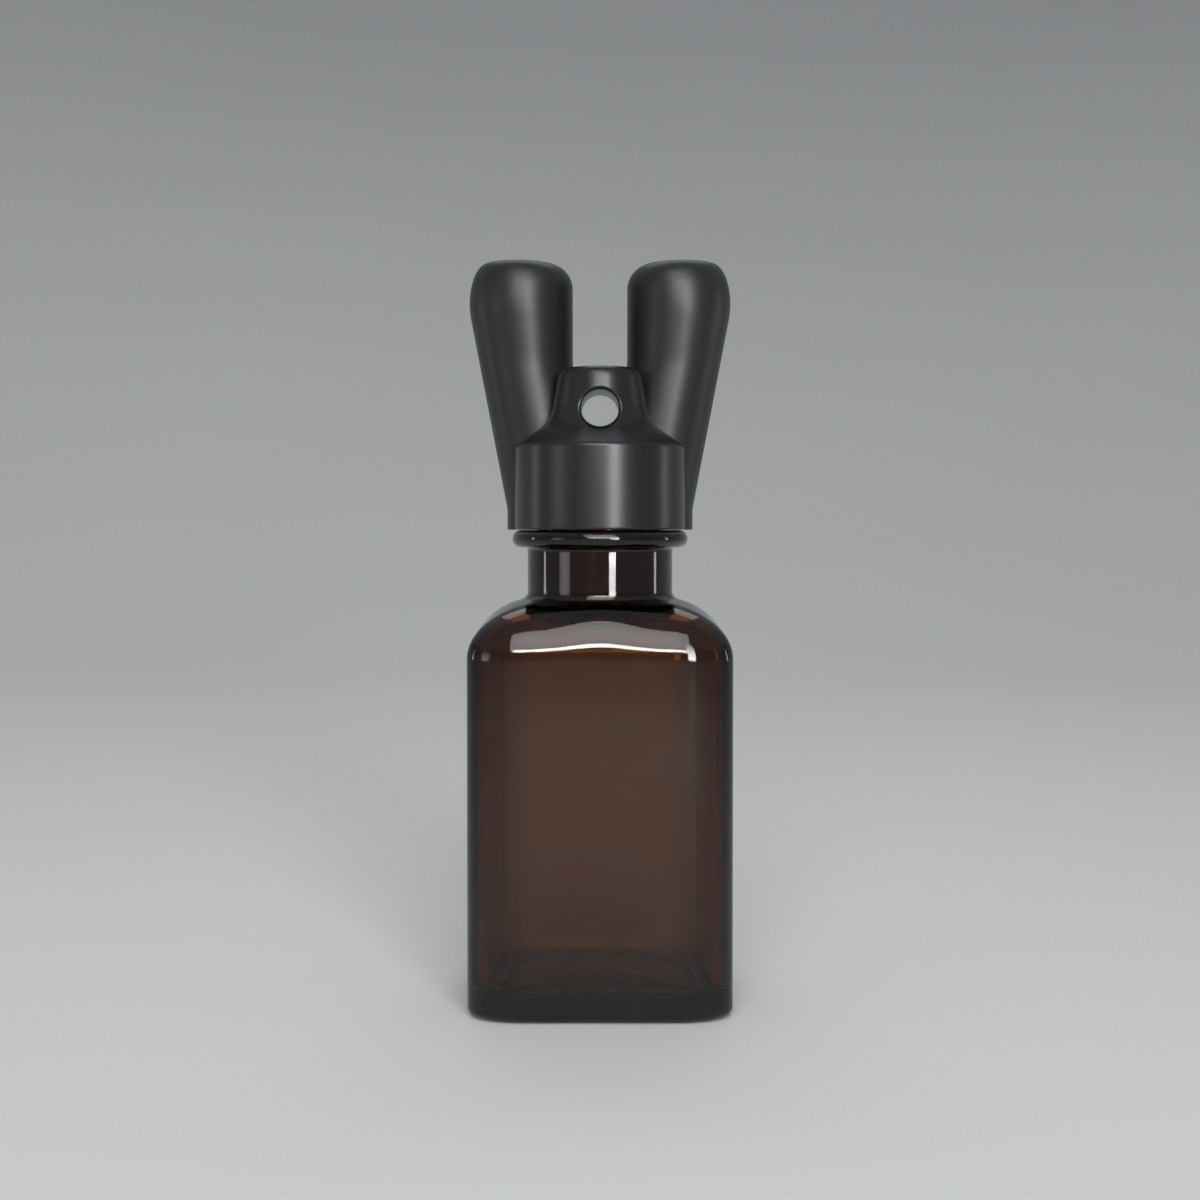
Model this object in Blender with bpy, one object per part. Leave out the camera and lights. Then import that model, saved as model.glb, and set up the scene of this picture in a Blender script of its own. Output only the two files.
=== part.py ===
"""Oblong amber glass bottle with a screw cap that carries two nostril nozzles.

Lengths are metres and +Z is up. The origin is the middle of the base, on the surface that the
bottle stands on. -Y is the front, where the post with the lanyard hole is, and the nozzles stand
side by side behind it. The cap, its liner and the nozzles hang on one empty on the bottle's axis,
at the level of the skirt's lower edge, and turn about that axis when the cap is unscrewed.
"""

import math

import bmesh
import bpy
from mathutils import Vector

MM = 0.001

# Glass body
BODY_HALF_WIDTH = 15.9 * MM
BODY_HALF_DEPTH = 13.0 * MM
CORNER_ALONG_FRONT = 6.5 * MM
CORNER_ALONG_SIDE = 4.0 * MM
GLASS_WALL = 2.0 * MM
BASE_THICKNESS = 2.6 * MM
HEEL_RADIUS = 1.3 * MM
INNER_HEEL_RADIUS = 1.8 * MM
CONTACT_BAND_WIDTH = 1.2 * MM
PUSH_UP_HEIGHT = 1.4 * MM
PUSH_UP_SIZE_SHARES = (0.25, 0.5, 0.7, 0.86, 1.0)

# Glass shoulder and neck
SHOULDER_START = 42.8 * MM
SHOULDER_REACH = 9.0 * MM
SHOULDER_RISE = 7.2 * MM
NECK_RADIUS = 9.0 * MM
NECK_LENGTH = 6.2 * MM
BEAD_RADIUS = 10.9 * MM
BEAD_THICKNESS = 1.9 * MM
FINISH_RADIUS = 7.9 * MM
FINISH_HEIGHT = 8.3 * MM
RIM_OUTER_ROUND = 0.6 * MM
RIM_INNER_ROUND = 0.3 * MM
BORE_RADIUS = 5.6 * MM

# Clearances between pieces
CAP_TO_BEAD_GAP = 0.3 * MM
LINER_GAP = 0.3 * MM
SEAT_GAP = 0.3 * MM
NOZZLE_PAIR_GAP = 0.3 * MM

# Liner
LINER_THICKNESS = 0.8 * MM
LINER_HOLE_RADIUS = 3.0 * MM

# Cap skirt, bell and post
SKIRT_RADIUS = 10.53 * MM
SKIRT_HEIGHT = 10.0 * MM
SKIRT_EDGE_RADIUS = 0.5 * MM
SKIRT_LIP_CHAMFER = 0.3 * MM
CAP_BORE_RADIUS = 9.2 * MM
BELL_SLOPE_DEGREES = 36.0
BELL_FILLET_RADIUS = 4.9 * MM
POST_ROOT_RADIUS = 5.75 * MM
POST_DRAFT_DEGREES = 9.0
POST_TOP_HEIGHT = 20.0 * MM
POST_TOP_ROUND = 1.3 * MM

# Lanyard hole through the post, front to back. The share is that of the plastic under the hole in
# all the plastic between the vapour chamber and the post's top.
LANYARD_RADIUS = 2.3 * MM
LANYARD_FLOOR_SHARE = 0.29762
LANYARD_RIM_ROUND = 0.55 * MM

# Vapour way through the cap
CHAMBER_RADIUS = 5.0 * MM
CHAMBER_TOP_RADIUS = 4.4 * MM
CHAMBER_HEIGHT = 1.8 * MM
PASSAGE_RADIUS = 1.0 * MM
PASSAGE_RISE = 2.0 * MM
SPIGOT_RADIUS = 3.3 * MM
SPIGOT_BORE_RADIUS = 1.9 * MM
SPIGOT_FOOT = 10.7 * MM
SPIGOT_BORE_FOOT = 11.6 * MM
SPIGOT_TOP = 17.3 * MM
SPIGOT_CHAMFER = 0.4 * MM

# Nozzles, measured in their own front view
NOZZLE_BACK_OFFSET = 6.0 * MM
NOZZLE_HEIGHT = 33.8 * MM
NOZZLE_REACH = 11.83 * MM
NOZZLE_COLLAR_HEIGHT = 2.6 * MM
NOZZLE_LEAN_DEGREES = 10.8
NOZZLE_BEND_HEIGHT = 21.0 * MM
BEND_BLEND_HEIGHT = 1.0 * MM
NOSE_GAP = 6.94 * MM
FLANK_BLEND_HEIGHT = 2.0 * MM
TIP_OUTER_ROUND_WIDTH = 2.1 * MM
TIP_OUTER_ROUND_HEIGHT = 5.1 * MM
TIP_INNER_ROUND_WIDTH = 3.13 * MM
TIP_INNER_ROUND_HEIGHT = 3.2 * MM
TIP_BORE_RADIUS = 3.1 * MM
TIP_BORE_ROUND = 0.3 * MM
SOCKET_DEPTH_PAST_SPIGOT = 0.6 * MM

# How far a cutter runs past the faces that it opens
OVERRUN = 1.0 * MM

# Points per quarter of the body's plan, and round a turned or lofted piece
SIDE_STEPS = 3
CORNER_STEPS = 5
FRONT_STEPS = 4
TURN_SEGMENTS = 48
NOZZLE_SEGMENTS = 32
CUTTER_SEGMENTS = 24
SMOOTH_ANGLE_DEGREES = 35.0

# Heights worked out from the sizes above
SHOULDER_CENTRE = BODY_HALF_WIDTH - SHOULDER_REACH
SHOULDER_END_DEGREES = math.degrees(math.acos((NECK_RADIUS - SHOULDER_CENTRE) / SHOULDER_REACH))
NECK_START = SHOULDER_START + SHOULDER_RISE * math.sin(math.radians(SHOULDER_END_DEGREES))
BEAD_START = NECK_START + NECK_LENGTH
BEAD_END = BEAD_START + BEAD_THICKNESS
RIM_HEIGHT = BEAD_END + FINISH_HEIGHT
CAP_LEVEL = BEAD_END + CAP_TO_BEAD_GAP
LINER_LEVEL = RIM_HEIGHT + LINER_GAP - CAP_LEVEL
DECK_LEVEL = LINER_LEVEL + LINER_THICKNESS + LINER_GAP
CHAMBER_TOP = DECK_LEVEL + CHAMBER_HEIGHT
LANYARD_PLASTIC = POST_TOP_HEIGHT - CHAMBER_TOP - 2 * LANYARD_RADIUS
LANYARD_HEIGHT = CHAMBER_TOP + LANYARD_PLASTIC * LANYARD_FLOOR_SHARE + LANYARD_RADIUS


def arc(centre, radii, start_degrees, end_degrees, steps):
    """Points on part of an ellipse in a plane, with both its ends."""
    points = []
    for step in range(steps + 1):
        angle = math.radians(start_degrees + (end_degrees - start_degrees) * step / steps)
        across = centre[0] + radii[0] * math.cos(angle)
        up = centre[1] + radii[1] * math.sin(angle)
        points.append((across, up))
    return points


def round_ring(radius, height, segments, centre=(0.0, 0.0)):
    """A level circle of points."""
    ring = []
    for step in range(segments):
        angle = math.tau * step / segments
        x = centre[0] + radius * math.cos(angle)
        y = centre[1] + radius * math.sin(angle)
        ring.append((x, y, height))
    return ring


def new_object(name, mesh_builder, colour, roughness):
    """Turns a bmesh into a smooth-shaded object with a material of its own."""
    bmesh.ops.recalc_face_normals(mesh_builder, faces=mesh_builder.faces)
    mesh = bpy.data.meshes.new(name)
    mesh_builder.to_mesh(mesh)
    mesh_builder.free()
    mesh.shade_smooth()
    mesh.set_sharp_from_angle(angle=math.radians(SMOOTH_ANGLE_DEGREES))
    piece = bpy.data.objects.new(name, mesh)
    bpy.context.collection.objects.link(piece)
    material = bpy.data.materials.new(name)
    material.use_nodes = True
    shader = material.node_tree.nodes["Principled BSDF"]
    shader.inputs["Base Color"].default_value = (*colour, 1.0)
    shader.inputs["Roughness"].default_value = roughness
    shader.inputs["Metallic"].default_value = 0.0
    mesh.materials.append(material)
    return piece


def loft(rings):
    """A closed skin over rings of equally many points, with a fan over its first and last ring."""
    built = bmesh.new()
    loops = [[built.verts.new(point) for point in ring] for ring in rings]
    count = len(loops[0])
    for lower, upper in zip(loops, loops[1:]):
        for here in range(count):
            there = (here + 1) % count
            built.faces.new((lower[here], lower[there], upper[there], upper[here]))
    for loop in (loops[0], loops[-1]):
        middle = sum((vert.co for vert in loop), Vector()) / count
        hub = built.verts.new(middle)
        for here in range(count):
            built.faces.new((hub, loop[here], loop[(here + 1) % count]))
    return built


def turn(profile, segments, closed=False):
    """Spins a profile of (radius, height) points about Z. An open one starts and ends on Z."""
    built = bmesh.new()
    verts = [built.verts.new((radius, 0.0, height)) for radius, height in profile]
    edges = [built.edges.new(pair) for pair in zip(verts, verts[1:])]
    if closed:
        edges.append(built.edges.new((verts[-1], verts[0])))
    bmesh.ops.spin(
        built,
        geom=verts + edges,
        cent=(0.0, 0.0, 0.0),
        axis=(0.0, 0.0, 1.0),
        angle=math.tau,
        steps=segments,
        use_merge=True,
    )
    bmesh.ops.remove_doubles(built, verts=built.verts, dist=MM * MM)
    return built


def add_cutter(name, built):
    """A helper solid for a Boolean: shown as wire and never rendered."""
    cutter = new_object(name, built, (0.5, 0.5, 0.5), 0.5)
    cutter.hide_render = True
    cutter.display_type = "WIRE"
    return cutter


def combine(piece, helper, operation):
    """Gives the piece a Boolean with the helper."""
    modifier = piece.modifiers.new(helper.name, "BOOLEAN")
    modifier.operation = operation
    modifier.solver = "EXACT"
    modifier.object = helper


def body_plan(inset):
    """The body's level outline, moved in by an inset, from the +X side round to the front."""
    half_width = BODY_HALF_WIDTH - inset
    half_depth = BODY_HALF_DEPTH - inset
    corner_x = CORNER_ALONG_FRONT * half_width / BODY_HALF_WIDTH
    corner_y = CORNER_ALONG_SIDE * half_depth / BODY_HALF_DEPTH
    flat_x = half_width - corner_x
    flat_y = half_depth - corner_y
    quarter = [(half_width, flat_y * step / SIDE_STEPS) for step in range(SIDE_STEPS)]
    quarter += arc((flat_x, flat_y), (corner_x, corner_y), 0.0, 90.0, CORNER_STEPS)
    quarter += [
        (flat_x * (1.0 - step / FRONT_STEPS), half_depth) for step in range(1, FRONT_STEPS + 1)
    ]
    back_left = [(-x, y) for x, y in reversed(quarter[1:-1])]
    half = quarter + back_left
    return half + [(-x, -y) for x, y in half]


def body_ring(height, inset):
    """A level ring of the body's plan."""
    return [(x, y, height) for x, y in body_plan(inset)]


def dome_ring(foot_height, inset, size_share):
    """A ring of the push-up: smaller, rounder and higher the nearer it is to the middle."""
    height = foot_height + PUSH_UP_HEIGHT * (1.0 - size_share * size_share)
    radius = BODY_HALF_DEPTH - inset
    ring = []
    for outer, point in zip(body_plan(0.0), body_plan(inset)):
        circle = Vector(outer).normalized() * radius
        x, y = circle.lerp(Vector(point), size_share) * size_share
        ring.append((x, y, height))
    return ring


def blended_ring(reach, height, inset, neck_radius):
    """A level ring between the neck's circle and the body's plan that reaches a given X."""
    share = (reach - neck_radius) / (BODY_HALF_WIDTH - inset - neck_radius)
    ring = []
    for outer, point in zip(body_plan(0.0), body_plan(inset)):
        circle = Vector(outer).normalized() * neck_radius
        x, y = circle.lerp(Vector(point), share)
        ring.append((x, y, height))
    return ring


def neck_rings(profile):
    """Level circles through a list of (radius, height) points."""
    return [blended_ring(radius, height, 0.0, radius) for radius, height in profile]


def bottle_outside():
    """Rings from the middle of the base up to the mouth's outer edge."""
    contact_inset = HEEL_RADIUS + CONTACT_BAND_WIDTH
    rings = [dome_ring(0.0, contact_inset, share) for share in PUSH_UP_SIZE_SHARES]
    for across, up in arc((0.0, HEEL_RADIUS), (HEEL_RADIUS, HEEL_RADIUS), -90.0, 0.0, 4):
        rings.append(body_ring(up, HEEL_RADIUS - across))
    shoulder = arc(
        (SHOULDER_CENTRE, SHOULDER_START),
        (SHOULDER_REACH, SHOULDER_RISE),
        0.0,
        SHOULDER_END_DEGREES,
        9,
    )
    rings += [blended_ring(reach, height, 0.0, NECK_RADIUS) for reach, height in shoulder]
    nose = BEAD_THICKNESS / 2
    bead = arc((BEAD_RADIUS - nose, BEAD_START + nose), (nose, nose), -90.0, 90.0, 6)
    rim = arc(
        (FINISH_RADIUS - RIM_OUTER_ROUND, RIM_HEIGHT - RIM_OUTER_ROUND),
        (RIM_OUTER_ROUND, RIM_OUTER_ROUND),
        0.0,
        90.0,
        3,
    )
    neck = [(NECK_RADIUS, BEAD_START)] + bead + [(FINISH_RADIUS, BEAD_END)] + rim
    return rings + neck_rings(neck)


def bottle_inside():
    """Rings from the mouth's inner edge down the bore to the middle of the floor."""
    inner_radii = (SHOULDER_REACH - GLASS_WALL, SHOULDER_RISE - GLASS_WALL)
    inner_top = SHOULDER_START + inner_radii[1]
    entry_radius = SHOULDER_CENTRE - BORE_RADIUS
    mouth = arc(
        (BORE_RADIUS + RIM_INNER_ROUND, RIM_HEIGHT - RIM_INNER_ROUND),
        (RIM_INNER_ROUND, RIM_INNER_ROUND),
        90.0,
        180.0,
        2,
    )
    entry = arc(
        (SHOULDER_CENTRE, inner_top + entry_radius), (entry_radius, entry_radius), 180.0, 270.0, 3
    )
    shoulder = arc((SHOULDER_CENTRE, SHOULDER_START), inner_radii, 90.0, 0.0, 7)
    rings = neck_rings(mouth)
    for reach, height in entry + shoulder[1:]:
        rings.append(blended_ring(reach, height, GLASS_WALL, BORE_RADIUS))
    heel = arc(
        (0.0, BASE_THICKNESS + INNER_HEEL_RADIUS),
        (INNER_HEEL_RADIUS, INNER_HEEL_RADIUS),
        0.0,
        -90.0,
        3,
    )
    floor_inset = GLASS_WALL + INNER_HEEL_RADIUS
    rings += [body_ring(height, floor_inset - across) for across, height in heel]
    for share in reversed(PUSH_UP_SIZE_SHARES[:-1]):
        rings.append(dome_ring(BASE_THICKNESS, floor_inset, share))
    return rings


def make_bottle():
    """The glass bottle: one skin out over the body and back down the inside."""
    built = loft(bottle_outside() + bottle_inside())
    return new_object("glass_bottle", built, (0.35, 0.13, 0.03), 0.05)


def make_liner(cap_axis):
    """The flat foam ring between the glass rim and the cap's deck."""
    outer = CAP_BORE_RADIUS - SEAT_GAP
    top = LINER_LEVEL + LINER_THICKNESS
    profile = [
        (LINER_HOLE_RADIUS, top),
        (outer, top),
        (outer, LINER_LEVEL),
        (LINER_HOLE_RADIUS, LINER_LEVEL),
    ]
    liner = new_object("seal_liner", turn(profile, TURN_SEGMENTS, closed=True), (0.8, 0.8, 0.76), 0.8)
    liner.parent = cap_axis
    return liner


def cap_outline():
    """The cap's outer outline from the skirt's upper edge to the rim of the post's flat top."""
    slope = math.radians(BELL_SLOPE_DEGREES)
    draft = math.radians(POST_DRAFT_DEGREES)
    edge_centre = (SKIRT_RADIUS - SKIRT_EDGE_RADIUS, SKIRT_HEIGHT)
    edge = arc(
        edge_centre, (SKIRT_EDGE_RADIUS, SKIRT_EDGE_RADIUS), 0.0, 90.0 - BELL_SLOPE_DEGREES, 3
    )
    fillet_centre_r = POST_ROOT_RADIUS + BELL_FILLET_RADIUS * math.cos(draft)
    fillet_start_r = fillet_centre_r - BELL_FILLET_RADIUS * math.sin(slope)
    fillet_start_z = edge[-1][1] + (edge[-1][0] - fillet_start_r) * math.tan(slope)
    fillet_centre_z = fillet_start_z + BELL_FILLET_RADIUS * math.cos(slope)
    fillet = arc(
        (fillet_centre_r, fillet_centre_z),
        (BELL_FILLET_RADIUS, BELL_FILLET_RADIUS),
        270.0 - BELL_SLOPE_DEGREES,
        180.0 + POST_DRAFT_DEGREES,
        6,
    )
    round_centre_z = POST_TOP_HEIGHT - POST_TOP_ROUND
    post_rise = round_centre_z - fillet[-1][1]
    round_centre_r = POST_ROOT_RADIUS - post_rise * math.tan(draft) - POST_TOP_ROUND
    top = arc(
        (round_centre_r, round_centre_z), (POST_TOP_ROUND, POST_TOP_ROUND), POST_DRAFT_DEGREES, 90.0, 5
    )
    return edge + fillet + top


def offset_outline(points, distance):
    """Moves a (radius, height) outline out along its own normals."""
    moved = []
    for index, point in enumerate(points):
        before = Vector(points[max(index - 1, 0)])
        after = Vector(points[min(index + 1, len(points) - 1)])
        along = (after - before).normalized()
        moved.append((point[0] + along.y * distance, point[1] - along.x * distance))
    return moved


def outer_flank(height):
    """X of a nozzle's outer edge at a height above the skirt's lower edge."""
    lean = math.tan(math.radians(NOZZLE_LEAN_DEGREES))
    round_start = NOZZLE_HEIGHT - TIP_OUTER_ROUND_HEIGHT
    blend_start = round_start - FLANK_BLEND_HEIGHT
    leaning = max(min(height, blend_start) - NOZZLE_COLLAR_HEIGHT, 0.0) * lean
    blend = min(max(height - blend_start, 0.0), FLANK_BLEND_HEIGHT)
    leaning += lean * (blend - blend * blend / (2 * FLANK_BLEND_HEIGHT))
    up_share = max(height - round_start, 0.0) / TIP_OUTER_ROUND_HEIGHT
    rounding = TIP_OUTER_ROUND_WIDTH * (1.0 - math.sqrt(max(1.0 - up_share * up_share, 0.0)))
    return NOZZLE_REACH + leaning - rounding


def inner_flank(height):
    """X of a nozzle's edge towards its twin at a height above the skirt's lower edge."""
    low = NOZZLE_PAIR_GAP / 2
    high = NOSE_GAP / 2
    lean = (high - low) / (NOZZLE_BEND_HEIGHT - NOZZLE_COLLAR_HEIGHT)
    past = height - NOZZLE_BEND_HEIGHT
    if past < -BEND_BLEND_HEIGHT:
        flank = high + lean * max(past, NOZZLE_COLLAR_HEIGHT - NOZZLE_BEND_HEIGHT)
    else:
        short = max(BEND_BLEND_HEIGHT - past, 0.0)
        flank = high - lean * short * short / (4 * BEND_BLEND_HEIGHT)
    round_start = NOZZLE_HEIGHT - TIP_INNER_ROUND_HEIGHT
    up_share = max(height - round_start, 0.0) / TIP_INNER_ROUND_HEIGHT
    rounding = TIP_INNER_ROUND_WIDTH * (1.0 - math.sqrt(max(1.0 - up_share * up_share, 0.0)))
    return flank + rounding


def tube_centre(height):
    """X of the middle between a nozzle's two flanks."""
    return (outer_flank(height) + inner_flank(height)) / 2


def bore_centre(height):
    """X of a nozzle's bore: it leans with the tube, then stands upright under the tip."""
    foot = tube_centre(NOZZLE_COLLAR_HEIGHT)
    bend = tube_centre(NOZZLE_BEND_HEIGHT)
    climb = (height - NOZZLE_COLLAR_HEIGHT) / (NOZZLE_BEND_HEIGHT - NOZZLE_COLLAR_HEIGHT)
    return min(foot + (bend - foot) * climb, tube_centre(NOZZLE_HEIGHT))


def bore_ring(radius, height, side, segments):
    """A level circle on a nozzle's bore line. side is 1 for the nozzle at +X and -1 for its twin."""
    return round_ring(radius, height, segments, (side * bore_centre(height), NOZZLE_BACK_OFFSET))


def make_screw_cap(cap_axis):
    """The cap moulding: skirt, deck, bell, post with its hole, vapour ways and two spigots."""
    outline = cap_outline()
    inside = [
        (0.0, CHAMBER_TOP),
        (CHAMBER_TOP_RADIUS, CHAMBER_TOP),
        (CHAMBER_RADIUS, DECK_LEVEL),
        (CAP_BORE_RADIUS, DECK_LEVEL),
        (CAP_BORE_RADIUS, SKIRT_LIP_CHAMFER),
        (CAP_BORE_RADIUS + SKIRT_LIP_CHAMFER, 0.0),
        (SKIRT_RADIUS, 0.0),
    ]
    profile = inside + outline + [(0.0, POST_TOP_HEIGHT)]
    cap = new_object("screw_cap", turn(profile, TURN_SEGMENTS), (0.025, 0.026, 0.028), 0.42)
    cap.parent = cap_axis
    for side in (1, -1):
        combine(cap, spigot_helper(side, cap_axis), "UNION")
    for side in (1, -1):
        combine(cap, spigot_bore_helper(side, cap_axis), "DIFFERENCE")
        combine(cap, passage_helper(side, cap_axis), "DIFFERENCE")
    combine(cap, lanyard_helper(cap_axis), "DIFFERENCE")
    return cap


def spigot_helper(side, cap_axis):
    """One spigot on the rear of the bell, along its nozzle's bore line."""
    rings = [
        bore_ring(SPIGOT_RADIUS, SPIGOT_FOOT, side, CUTTER_SEGMENTS),
        bore_ring(SPIGOT_RADIUS, SPIGOT_TOP - SPIGOT_CHAMFER, side, CUTTER_SEGMENTS),
        bore_ring(SPIGOT_RADIUS - SPIGOT_CHAMFER, SPIGOT_TOP, side, CUTTER_SEGMENTS),
    ]
    helper = add_cutter(f"spigot_{side}", loft(rings))
    helper.parent = cap_axis
    return helper


def spigot_bore_helper(side, cap_axis):
    """The bore down one spigot."""
    rings = [
        bore_ring(SPIGOT_BORE_RADIUS, SPIGOT_BORE_FOOT, side, CUTTER_SEGMENTS),
        bore_ring(SPIGOT_BORE_RADIUS, SPIGOT_TOP + OVERRUN, side, CUTTER_SEGMENTS),
    ]
    helper = add_cutter(f"spigot_bore_{side}", loft(rings))
    helper.parent = cap_axis
    return helper


def passage_helper(side, cap_axis):
    """The sloping way from the vapour chamber to the foot of one spigot's bore."""
    end_height = SPIGOT_BORE_FOOT + PASSAGE_RADIUS
    end = Vector((side * bore_centre(end_height), NOZZLE_BACK_OFFSET, end_height))
    outward = Vector((end.x, end.y, 0.0)).normalized()
    start = outward * (CHAMBER_TOP_RADIUS - PASSAGE_RADIUS / 2)
    start.z = end_height - PASSAGE_RISE
    built = bmesh.new()
    bmesh.ops.create_cone(
        built,
        cap_ends=True,
        cap_tris=True,
        segments=CUTTER_SEGMENTS,
        radius1=PASSAGE_RADIUS,
        radius2=PASSAGE_RADIUS,
        depth=(end - start).length,
    )
    helper = add_cutter(f"passage_{side}", built)
    helper.rotation_euler = (end - start).to_track_quat("Z", "Y").to_euler()
    helper.location = (start + end) / 2
    helper.parent = cap_axis
    return helper


def cap_radius(height):
    """The cap's outer radius at a height on the bell or the post."""
    outline = cap_outline()
    for lower, upper in zip(outline, outline[1:]):
        if lower[1] <= height <= upper[1] and upper[1] > lower[1]:
            climb = (height - lower[1]) / (upper[1] - lower[1])
            return lower[0] + (upper[0] - lower[0]) * climb
    return SKIRT_RADIUS


def lanyard_ring(radius, sink, segments):
    """A ring of the lanyard hole's front mouth, sunk below the cap's round surface."""
    ring = []
    for step in range(segments):
        angle = math.tau * step / segments
        x = radius * math.cos(angle)
        z = LANYARD_HEIGHT + radius * math.sin(angle)
        surface = math.sqrt(cap_radius(z) ** 2 - x * x)
        ring.append((x, sink - surface, z))
    return ring


def lanyard_helper(cap_axis):
    """A cutter for the lanyard hole, whose mouths follow the post and round its rims over."""
    rim = arc(
        (LANYARD_RADIUS + LANYARD_RIM_ROUND, LANYARD_RIM_ROUND),
        (LANYARD_RIM_ROUND, LANYARD_RIM_ROUND),
        245.0,
        180.0,
        3,
    )
    front = [lanyard_ring(rim[0][0], -OVERRUN, CUTTER_SEGMENTS)]
    front += [lanyard_ring(radius, sink, CUTTER_SEGMENTS) for radius, sink in rim]
    back = [[(x, -y, z) for x, y, z in ring] for ring in reversed(front)]
    helper = add_cutter("lanyard_hole", loft(front + back))
    helper.parent = cap_axis
    return helper


def seat_helper(cap_axis):
    """The cap's outside with the seat gap round it, which each nozzle is scalloped to fit."""
    outline = offset_outline([(SKIRT_RADIUS, 0.0)] + cap_outline(), SEAT_GAP)
    radius = outline[0][0]
    top = POST_TOP_HEIGHT + SEAT_GAP
    profile = [(0.0, -OVERRUN), (radius, -OVERRUN)] + outline + [(0.0, top)]
    helper = add_cutter("nozzle_seat", turn(profile, TURN_SEGMENTS))
    helper.parent = cap_axis
    return helper


def nozzle_heights():
    """Heights of a nozzle's outer rings, closer together where its flanks curve."""
    round_start = NOZZLE_HEIGHT - TIP_OUTER_ROUND_HEIGHT
    blend_start = round_start - FLANK_BLEND_HEIGHT
    inner_start = NOZZLE_HEIGHT - TIP_INNER_ROUND_HEIGHT
    blend_middle = (blend_start + round_start) / 2
    shoulder_middle = (round_start + inner_start) / 2
    dome = [
        inner_start + TIP_INNER_ROUND_HEIGHT * math.sin(math.radians(90.0 * step / 7))
        for step in range(8)
    ]
    bend = [NOZZLE_BEND_HEIGHT + BEND_BLEND_HEIGHT * share for share in (-1.0, 0.0, 1.0)]
    lower = [0.0, NOZZLE_COLLAR_HEIGHT] + bend
    return lower + [blend_start, blend_middle, round_start, shoulder_middle] + dome


def make_nozzle(name, side, seat, cap_axis):
    """One nostril nozzle: a tube that leans out, swells to its tip and is bored to its foot."""
    rings = []
    for height in nozzle_heights():
        radius = (outer_flank(height) - inner_flank(height)) / 2
        centre = (side * tube_centre(height), NOZZLE_BACK_OFFSET)
        rings.append(round_ring(radius, height, NOZZLE_SEGMENTS, centre))
    upright = NOZZLE_BEND_HEIGHT + (NOZZLE_HEIGHT - NOZZLE_BEND_HEIGHT) / 2
    socket_top = SPIGOT_TOP + SOCKET_DEPTH_PAST_SPIGOT
    socket_radius = SPIGOT_RADIUS + SEAT_GAP
    bore = [
        (TIP_BORE_RADIUS + TIP_BORE_ROUND, NOZZLE_HEIGHT),
        (TIP_BORE_RADIUS, NOZZLE_HEIGHT - TIP_BORE_ROUND),
        (TIP_BORE_RADIUS, upright),
        (TIP_BORE_RADIUS, NOZZLE_BEND_HEIGHT),
        (TIP_BORE_RADIUS, socket_top),
        (socket_radius, socket_top - (socket_radius - TIP_BORE_RADIUS)),
        (socket_radius, SPIGOT_FOOT - SEAT_GAP),
    ]
    rings += [bore_ring(radius, height, side, NOZZLE_SEGMENTS) for radius, height in bore]
    nozzle = new_object(name, loft(rings), (0.03, 0.031, 0.033), 0.45)
    nozzle.parent = cap_axis
    combine(nozzle, seat, "DIFFERENCE")
    return nozzle


def main():
    """Builds the bottle and the closed cap on it."""
    for old in list(bpy.data.objects):
        bpy.data.objects.remove(old)
    make_bottle()
    cap_axis = bpy.data.objects.new("cap_axis", None)
    cap_axis.location = (0.0, 0.0, CAP_LEVEL)
    bpy.context.collection.objects.link(cap_axis)
    make_liner(cap_axis)
    make_screw_cap(cap_axis)
    seat = seat_helper(cap_axis)
    make_nozzle("nozzle_left", -1, seat, cap_axis)
    make_nozzle("nozzle_right", 1, seat, cap_axis)


main()
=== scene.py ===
"""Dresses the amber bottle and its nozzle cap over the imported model.

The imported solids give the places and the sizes. Each solid is faceted and plain, so each has a
finer piece here that stands for it: the glass with its screw thread and moulding seam, the cap
with the thread inside it, the pair of nozzles and the foam liner. Everything is in metres, +Z is
up, -Y is the front, and each finished piece's object stays at the origin.
"""

from __future__ import annotations

import logging
import math
from dataclasses import dataclass
from enum import Enum

import bmesh
import bpy
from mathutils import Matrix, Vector


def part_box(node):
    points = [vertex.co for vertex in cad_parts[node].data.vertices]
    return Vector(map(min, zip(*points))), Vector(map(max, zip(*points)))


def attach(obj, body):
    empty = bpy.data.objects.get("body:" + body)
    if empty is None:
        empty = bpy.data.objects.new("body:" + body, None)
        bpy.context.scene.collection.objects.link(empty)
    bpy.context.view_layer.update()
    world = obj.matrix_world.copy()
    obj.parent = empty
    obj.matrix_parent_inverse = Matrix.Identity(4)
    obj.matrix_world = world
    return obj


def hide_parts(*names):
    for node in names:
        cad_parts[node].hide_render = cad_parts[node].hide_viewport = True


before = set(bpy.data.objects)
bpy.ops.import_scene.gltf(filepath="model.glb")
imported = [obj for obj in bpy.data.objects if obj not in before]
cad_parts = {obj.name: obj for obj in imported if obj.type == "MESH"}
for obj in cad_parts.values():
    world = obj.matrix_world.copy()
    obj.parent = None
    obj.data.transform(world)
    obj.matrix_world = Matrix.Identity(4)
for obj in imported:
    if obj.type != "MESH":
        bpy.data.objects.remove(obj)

LOG = logging.getLogger("bottle")
MM = 0.001
END_MARGIN = 0.12 * MM

Point = tuple[float, float]
Outline = list[Point]
Ring = list[Vector]
Span = tuple[float, float]
Place = tuple[float, float, float]
Colour = tuple[float, float, float]
Socket = bpy.types.NodeSocket


class Side(Enum):
    """Which of the two nozzles, as the sign of its X."""

    LEFT = -1
    RIGHT = 1


class Cut(Enum):
    """What a helper solid does to a piece."""

    ADD = "UNION"
    TAKE = "DIFFERENCE"


class Aim(Enum):
    """Where a lamp points."""

    OBJECT = "at the object's middle"
    LEVEL = "level, over the middle of the floor"


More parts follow.
